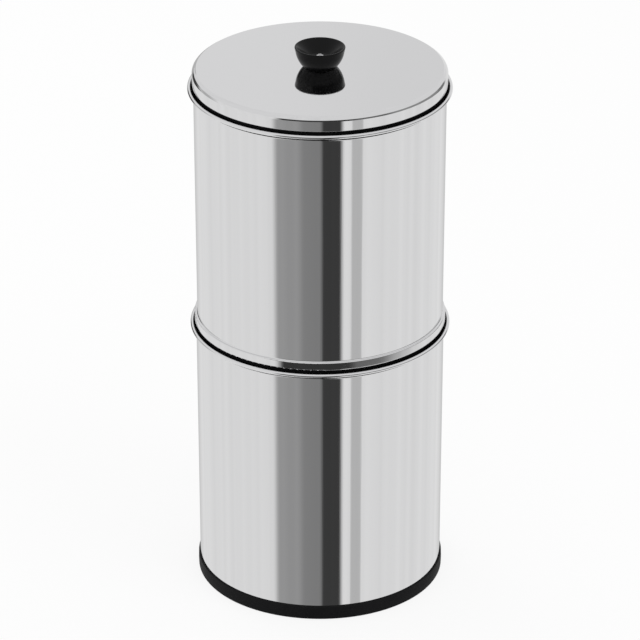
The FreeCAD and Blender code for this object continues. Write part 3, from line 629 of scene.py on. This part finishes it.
@dataclass
class Studio:
    """The pale floor, the soft light, the cards that the steel mirrors, and the camera."""

    lens: float = 233.1
    camera_distance: float = 3.2607
    camera_height: float = 1.8085
    camera_pitch: float = 25.71
    floor_size: float = 60.0
    floor_grey: float = 0.9
    floor_glow: float = 0.84
    fill: float = 0.85
    ceiling: float = 0.79
    surround: float = 0.84
    level_from: tuple[float, float] = (-0.381, -0.352)
    ceiling_from: tuple[float, float] = (0.14, 0.25)
    fold_count: float = 34.0
    fold_shade: tuple[float, float] = (0.965, 1.03)
    lamp_size: float = 1.2
    lamp_aim: tuple[float, float, float] = (0, 0, 0.25)
    floorward_cards: tuple[Card, ...] = (
        Card(-181, -158, 0.6, edge=24),
        Card(158, 181, 0.6, edge=24),
        Card(-42, 2, 0.35, edge=8),
        Card(-18, 2, 0.25, edge=8),
        Card(1, 20, 0.05, edge=5),
        Card(29, 39, 0.55, edge=2),
    )
    level_cards: tuple[Card, ...] = (
        Card(-181, -154, 0.5, edge=10),
        Card(-154, -130, 0.05, edge=8),
        Card(-130, -105, 0.5, edge=20),
        Card(20, 75, 0.15, edge=20),
        Card(65, 140, 0.3, edge=20),
        Card(125, 140, 0.2, edge=6),
        Card(-37, 30, 0.04, edge=10),
    )

    def stand_camera(self) -> bpy.types.Object:
        """Stands the camera behind the filter, looking down at it.

        Returns:
            The camera.
        """
        data = bpy.data.cameras.new("camera")
        data.lens = self.lens
        camera = bpy.data.objects.new("camera", data)
        camera.location = (0, self.camera_distance, self.camera_height)
        camera.rotation_euler = (math.radians(90 - self.camera_pitch), 0, math.pi)
        bpy.context.scene.collection.objects.link(camera)
        bpy.context.scene.camera = camera
        return camera

    def lay_floor(self) -> bpy.types.Object:
        """Lays the pale floor, which mirrors see through so that they show the cards.

        Returns:
            The floor.
        """
        bpy.ops.object.select_all(action="DESELECT")
        bpy.ops.mesh.primitive_plane_add(size=self.floor_size, location=(0, 0, 0))
        floor = bpy.context.object
        floor.name = "floor"
        made = bpy.data.materials.new("pale_floor")
        made.use_nodes = True
        canvas = Canvas(made.node_tree)
        rays = canvas.add("LightPath").outputs
        grey = (self.floor_grey, self.floor_grey, self.floor_grey, 1)
        matt = canvas.add("BsdfDiffuse", {"Color": grey}).outputs[0]
        white = canvas.add("Emission", {"Color": WHITE, "Strength": 1.0}).outputs[0]
        clear = canvas.add("BsdfTransparent").outputs[0]
        seen = canvas.maths("MULTIPLY", rays["Is Camera Ray"], self.floor_glow)
        lit = canvas.add("MixShader", {0: seen, 1: matt, 2: white}).outputs[0]
        mirrored = canvas.maths("MAXIMUM", rays["Is Glossy Ray"], rays["Is Transmission Ray"])
        mixed = canvas.add("MixShader", {0: mirrored, 1: lit, 2: clear}).outputs[0]
        canvas.add("OutputMaterial", {"Surface": mixed})
        floor.data.materials.append(made)
        return floor

    def card_ring(
        self, canvas: Canvas, angle: bpy.types.NodeSocket, zone: Zone
    ) -> bpy.types.NodeSocket:
        """Adds the ring of cards and flags at one height.

        Args:
            canvas: The world's canvas.
            angle: The direction round the filter, in radians.
            zone: The height of the ring.

        Returns:
            The light that comes from that direction.
        """
        cards = self.floorward_cards if zone is Zone.FLOORWARD else self.level_cards
        seen = self.surround
        for card in cards:
            sides = []
            for place, levels in ((card.start, (0.0, 1.0)), (card.end, (1.0, 0.0))):
                reach = (math.radians(place - card.edge / 2), math.radians(place + card.edge / 2))
                sides.append(canvas.span(angle, reach, levels, smooth=True))
            mask = canvas.maths("MULTIPLY", *sides)
            seen = canvas.add(
                "Mix", {0: mask, 2: seen, 3: card.light}, data_type="FLOAT"
            ).outputs[0]
        return seen

    def hang_surround(self) -> None:
        """Gives the world its plain light, and the cards and flags that only mirrors see."""
        world = bpy.data.worlds.new("studio")
        world.use_nodes = True
        bpy.context.scene.world = world
        canvas = Canvas(world.node_tree)
        axes = canvas.add("SeparateXYZ", {0: canvas.add("TexCoord").outputs["Generated"]}).outputs
        right = canvas.maths("MULTIPLY", axes["X"], -1.0)
        angle = canvas.maths("ARCTAN2", right, axes["Y"])
        turn = canvas.span(angle, (-math.pi, math.pi), (0.0, 1.0))
        low = self.card_ring(canvas, angle, Zone.FLOORWARD)
        level = self.card_ring(canvas, angle, Zone.LEVEL)
        lift = canvas.span(axes["Z"], self.level_from, (0.0, 1.0), smooth=True)
        cards = canvas.add("Mix", {0: lift, 6: low, 7: level}, data_type="RGBA").outputs[2]
        above = canvas.span(axes["Z"], self.ceiling_from, (0.0, 1.0), smooth=True)
        ceiling = (self.ceiling, self.ceiling, self.ceiling * 1.005, 1)
        even = canvas.add("Mix", {0: above, 6: cards, 7: ceiling}, data_type="RGBA").outputs[2]
        waves = {"W": turn, "Scale": self.fold_count, "Detail": 2.0}
        folds = canvas.add("TexNoise", waves, noise_dimensions="1D").outputs[0]
        shade = canvas.span(folds, (0.3, 0.7), self.fold_shade)
        seen = canvas.add("VectorMath", {0: even, "Scale": shade}, operation="SCALE").outputs[0]
        rays = canvas.add("LightPath").outputs
        mirrored = canvas.add("Background", {"Color": seen, "Strength": 1.0}).outputs[0]
        plain = canvas.add("Background", {"Color": WHITE, "Strength": self.fill}).outputs[0]
        white = canvas.add("Background", {"Color": WHITE, "Strength": 1.0}).outputs[0]
        glossy = canvas.maths("MAXIMUM", rays["Is Glossy Ray"], rays["Is Transmission Ray"])
        lit = canvas.add("MixShader", {0: glossy, 1: plain, 2: mirrored}).outputs[0]
        shown = canvas.add("MixShader", {0: rays["Is Camera Ray"], 1: lit, 2: white}).outputs[0]
        canvas.add("OutputWorld", {"Surface": shown})

    def hang_lamp(self, name: str, place: Vector, power: float) -> None:
        """Hangs one soft lamp that faces the filter and that mirrors don't show.

        Args:
            name: The lamp's name.
            place: Where it hangs, in metres.
            power: Its power in watts.
        """
        data = bpy.data.lights.new(name, "AREA")
        data.shape = "DISK"
        data.size = self.lamp_size
        data.energy = power
        lamp = bpy.data.objects.new(name, data)
        lamp.location = place
        aim = Vector(self.lamp_aim) - place
        lamp.rotation_euler = aim.to_track_quat("-Z", "Y").to_euler()
        lamp.visible_glossy = False
        bpy.context.scene.collection.objects.link(lamp)

    def build(self) -> None:
        """Sets up the whole studio."""
        bpy.context.scene.view_settings.view_transform = "Standard"
        self.stand_camera()
        self.lay_floor()
        self.hang_surround()
        self.hang_lamp("key_lamp", Vector((-1.2, 1.0, 2.0)), 9.0)
        self.hang_lamp("front_lamp", Vector((1.0, -1.4, 1.8)), 7.0)


def main() -> None:
    """Builds the studio and the filter's sub-assemblies in order, and reports each piece."""
    logging.basicConfig(level=logging.INFO, format="%(message)s")
    Studio().build()
    Chambers().dress()
    LidAndKnob().dress()
    Candles().dress()
    tap = Tap()
    tap.dress()
    tap.soften_lever()
    tap.wind_spring()


if __name__ == "__main__":
    main()
